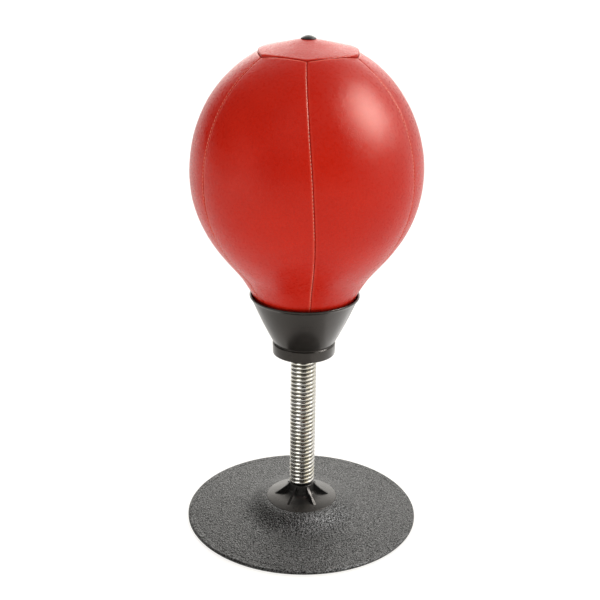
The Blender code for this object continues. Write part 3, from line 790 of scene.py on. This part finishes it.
def make_hub(material):
    """The hub's flange, boss and posts as one turned piece, and its six fins."""
    low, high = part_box("pedestal_hub")
    flange_radius = high.x
    flange_bottom = 12.3 * MM
    flange_edge = flange_bottom + 0.9 * MM
    boss_radius = 8.4 * MM
    seat = 24.2 * MM
    sweep_top = (boss_radius, 19 * MM)
    sweep_end = (18 * MM, 14.5 * MM)
    sweep = bezier(sweep_top, (boss_radius, 16.2 * MM), (12 * MM, 15.4 * MM), sweep_end, 14)
    outline = [
        (0.0, high.z),
        (5.4 * MM, high.z),
        (5.4 * MM, seat),
        (boss_radius, seat),
        sweep_top,
        *sweep,
        (flange_radius, flange_edge),
        (flange_radius, flange_bottom),
        (7 * MM, flange_bottom),
        (7 * MM, low.z),
        (4.2 * MM, low.z),
        (4.2 * MM, 29 * MM),
        (0.0, 29 * MM),
    ]
    radii = {1: 0.7 * MM, 3: 0.4 * MM, 5 + len(sweep): 0.25 * MM}
    mesh = turned("hub", rounded(outline, radii), 144, 50)
    add_piece("hub", mesh, material, "pedestal", ["pedestal_hub"])
    points = []
    faces = []
    for k in range(6):
        fin_plate(points, faces, math.pi / 3 * k, flange_edge - 0.2 * MM)
    mesh = mesh_of("hub_fins", points, faces, 50)
    turn_outwards(mesh)
    add_piece("hub_fins", mesh, material, "pedestal", ["pedestal_hub"])


def make_base(material):
    """The suction cup: its hill round the hub, its wide skirt with a fine ring, and its hollow."""
    low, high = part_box("suction_cup")
    radius = high.x
    hole = 7.3 * MM
    seat = 12 * MM
    lip = 24.56 * MM
    foot = (47 * MM, 4.8 * MM)
    hill = bezier((25.4 * MM, high.z), (33 * MM, 10.5 * MM), (35 * MM, 5.2 * MM), foot, 24)
    ring = radius - 5.2 * MM
    skirt = []
    for r in np.arange(49 * MM, radius - 0.9 * MM, 0.55 * MM):
        z = np.interp(r, [foot[0], 64 * MM, radius - 0.6 * MM], [foot[1], 3.4 * MM, 2.2 * MM])
        skirt.append((r, z - 0.22 * MM * math.exp(-(((r - ring) / (0.6 * MM)) ** 2))))
    outline = [
        (hole, seat),
        (lip, seat),
        (lip, high.z + 0.2 * MM),
        (24.9 * MM, high.z + 0.2 * MM),
        *hill,
        *skirt,
        (radius - 0.6 * MM, 2.2 * MM),
        (radius, 1.5 * MM),
        (radius, 0.6 * MM),
        (radius - 0.6 * MM, low.z),
        (66 * MM, low.z),
        (55 * MM, 1.6 * MM),
        (42 * MM, 2.6 * MM),
        (32 * MM, 5.6 * MM),
        (24 * MM, 8.3 * MM),
        (hole, 8.3 * MM),
    ]
    mesh = turned("base_disc", outline, 256, 60)
    piece = add_piece("base_disc", mesh, material, "base", ["suction_cup"])
    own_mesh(piece)


def finish_inner_nodes():
    """Materials for the CAD nodes that stay: fasteners, inserts, anchor, bladder and valve."""
    steel = turned_metal("fastener_steel_finish", (0.55, 0.55, 0.54), 0.35)
    brass = turned_metal("brass_finish", (0.62, 0.43, 0.17), 0.3)
    latex = soft_rubber("latex_finish", (0.32, 0.22, 0.14), 0.6)
    valve = soft_rubber("valve_body_finish", (0.02, 0.02, 0.02), 0.55)
    anchor = black_plastic("anchor_finish", (0.014, 0.014, 0.014), 0.35, 0.5)
    materials = {
        "base_screw": steel,
        "base_washer": steel,
        "ball_screw": steel,
        "ball_washer": steel,
        "hub_insert": brass,
        "anchor_insert": brass,
        "bladder": latex,
        "valve_body": valve,
        "ball_anchor": anchor,
    }
    for name, material in materials.items():
        slots = frame["nodes"][name].data.materials
        slots.clear()
        slots.append(material)


# The studio


def make_floor():
    """A pale table, wide enough to reach the horizon, that glows a little so that it stays white."""
    made = Finish("floor_finish", (0.35, 0.35, 0.35), 0.7, Specular_IOR_Level=0.2)
    made.set("Emission Strength", 0.76)
    made.set("Emission Color", (1.0, 0.985, 0.95, 1.0))
    made.set("Normal", made.bump(made.noise(5 * MM, 2.0), 0.02 * MM))
    place = (0, 0, -0.3 * MM)
    bpy.ops.mesh.primitive_circle_add(vertices=96, radius=25.0, fill_type="NGON", location=place)
    floor = bpy.context.object
    floor.name = "floor"
    floor.data.materials.append(made.material)


SOFT_BOXES = (
    # Direction, strength at its middle, and the degrees from there at which it has faded out
    ((0, 1, 0.42), 1.9, 34),
    ((0, 1, 1.0), 0.75, 45),
    ((-0.35, 1, 0.05), 1.2, 30),
    ((0.7, 0.8, 0.25), 1.1, 45),
    ((1, -0.1, 0.25), 1.2, 45),
    ((0.8, 0.1, 0.8), 0.6, 45),
    ((-0.8, 0.1, 0.8), 0.15, 45),
)


def make_sky():
    """The studio round the object: soft boxes behind it and at its right, and little light in front."""
    world = bpy.data.worlds.new("studio")
    world.use_nodes = True
    bpy.context.scene.world = world
    tree = world.node_tree
    background = tree.nodes["Background"]
    background.inputs["Color"].default_value = (1.0, 0.985, 0.945, 1.0)
    direction = tree.nodes.new("ShaderNodeTexCoord").outputs["Generated"]
    total = None
    for middle, strength, reach in SOFT_BOXES:
        nearness = tree.nodes.new("ShaderNodeVectorMath")
        nearness.operation = "DOT_PRODUCT"
        nearness.inputs[1].default_value = Vector(middle).normalized()
        tree.links.new(direction, nearness.inputs[0])
        box = tree.nodes.new("ShaderNodeMapRange")
        box.interpolation_type = "SMOOTHSTEP"
        box.inputs["From Min"].default_value = math.cos(math.radians(reach))
        box.inputs["From Max"].default_value = math.cos(math.radians(5))
        box.inputs["To Max"].default_value = strength
        tree.links.new(nearness.outputs["Value"], box.inputs["Value"])
        if total is None:
            total = box.outputs["Result"]
            continue
        both = tree.nodes.new("ShaderNodeMath")
        tree.links.new(total, both.inputs[0])
        tree.links.new(box.outputs["Result"], both.inputs[1])
        total = both.outputs[0]
    tree.links.new(total, background.inputs["Strength"])


def area_light(name, towards, distance, size, watts, aim=(0, 0, 0.24), diffuse=True, glossy=True):
    """A soft light, width by height, that stands in this direction from the point it aims at."""
    data = bpy.data.lights.new(name, "AREA")
    data.shape = "RECTANGLE"
    data.size, data.size_y = size
    data.energy = watts
    light = bpy.data.objects.new(name, data)
    light.location = Vector(aim) + Vector(towards).normalized() * distance
    light.rotation_euler = (-Vector(towards)).to_track_quat("-Z", "Y").to_euler()
    light.visible_diffuse = diffuse
    light.visible_glossy = glossy
    bpy.context.scene.collection.objects.link(light)
    return light


def link_light(light, pieces, state):
    """INCLUDE makes the light shine on these pieces alone, and EXCLUDE on all but these."""
    receivers = bpy.data.collections.new(f"{light.name}_receivers")
    for piece in pieces:
        receivers.objects.link(piece)
    for entry in receivers.collection_objects:
        entry.light_linking.link_state = state
    light.light_linking.receiver_collection = receivers


SPRING_STRIPS = (
    # Name, degrees to the right of the viewer as seen from the spring, width in metres, watts, colour
    ("spring_strip_left", -44, 0.3, 2.1, (1.0, 1.0, 0.99)),
    ("spring_strip_front", 42, 0.3, 0.95, (1.0, 0.93, 0.76)),
    ("spring_strip_right", 74, 0.09, 0.7, (1.0, 0.99, 0.95)),
)


def light_spring(pieces):
    """Upright strips that streak the wire, which would else mirror little but the ball and the floor."""
    middle = (0.0, 0.0, 0.08)
    for name, azimuth, width, watts, colour in SPRING_STRIPS:
        turn = math.radians(azimuth)
        towards = (math.sin(turn), -math.cos(turn), 0.25)
        light = area_light(name, towards, 0.5, (width, 0.6), watts, middle, diffuse=False)
        light.data.color = colour
        link_light(light, pieces, "INCLUDE")


def light_cup(cup):
    """A pale card on the table at the right, which the cup's wall mirrors."""
    middle = (0, 0, 5 * MM)
    card = area_light("cup_card", (1.0, -0.1, 0.0), 0.25, (0.3, 0.5), 0.36, middle, diffuse=False)
    card.rotation_euler = (math.pi, 0.0, 0.0)
    card.visible_camera = False
    link_light(card, [cup], "INCLUDE")


def make_lights(spring, cup):
    """The lights: two that only show as sheen, strips and a card for single pieces, and soft fill."""
    key = area_light("key_sheen", (0.766, -0.08, 0.62), 1.1, (0.62, 0.62), 26, diffuse=False)
    link_light(key, spring, "EXCLUDE")
    light_spring(spring)
    light_cup(cup)
    side = area_light("left_sheen", (-0.86, -0.52, 0.05), 0.9, (0.5, 0.7), 1.1, diffuse=False)
    link_light(side, spring, "EXCLUDE")
    area_light("front_fill", (-0.25, -1.0, 0.9), 1.7, (1.3, 1.3), 12.4, glossy=False)
    data = bpy.data.lights.new("overhead", "SUN")
    data.energy = 0.8
    data.angle = math.radians(80)
    sun = bpy.data.objects.new("overhead", data)
    sun.rotation_euler = (math.radians(-18), 0.0, 0.0)
    sun.visible_glossy = False
    bpy.context.scene.collection.objects.link(sun)


def make_camera():
    data = bpy.data.cameras.new("camera")
    data.lens = CAMERA_LENS
    data.clip_start = 10 * MM
    camera = bpy.data.objects.new("camera", data)
    tilt = Matrix.Rotation(math.pi / 2 - CAMERA_PITCH, 4, "X")
    camera.matrix_world = Matrix.Translation(CAMERA_PLACE) @ tilt @ Matrix.Rotation(CAMERA_ROLL, 4, "Z")
    bpy.context.scene.collection.objects.link(camera)
    bpy.context.scene.camera = camera


def main():
    side = Side()
    leather = red_leather()
    plastic = black_plastic()
    for k in range(GORE_COUNT):
        make_gore(side, k, leather)
    make_crown(side, leather)
    make_stitches(side, thread())
    make_valve_plug(soft_rubber("valve_plug_finish", (0.012, 0.012, 0.012), 0.35))
    cup = make_cup(plastic)
    spring = make_spring(bright_wire())
    make_hub(black_plastic("hub_finish", (0.012, 0.012, 0.0115), 0.24, 0.34))
    make_base(stippled_rubber())
    finish_inner_nodes()
    make_floor()
    make_sky()
    make_lights(spring, cup)
    make_camera()
    bpy.context.scene.view_settings.view_transform = "Standard"


main()
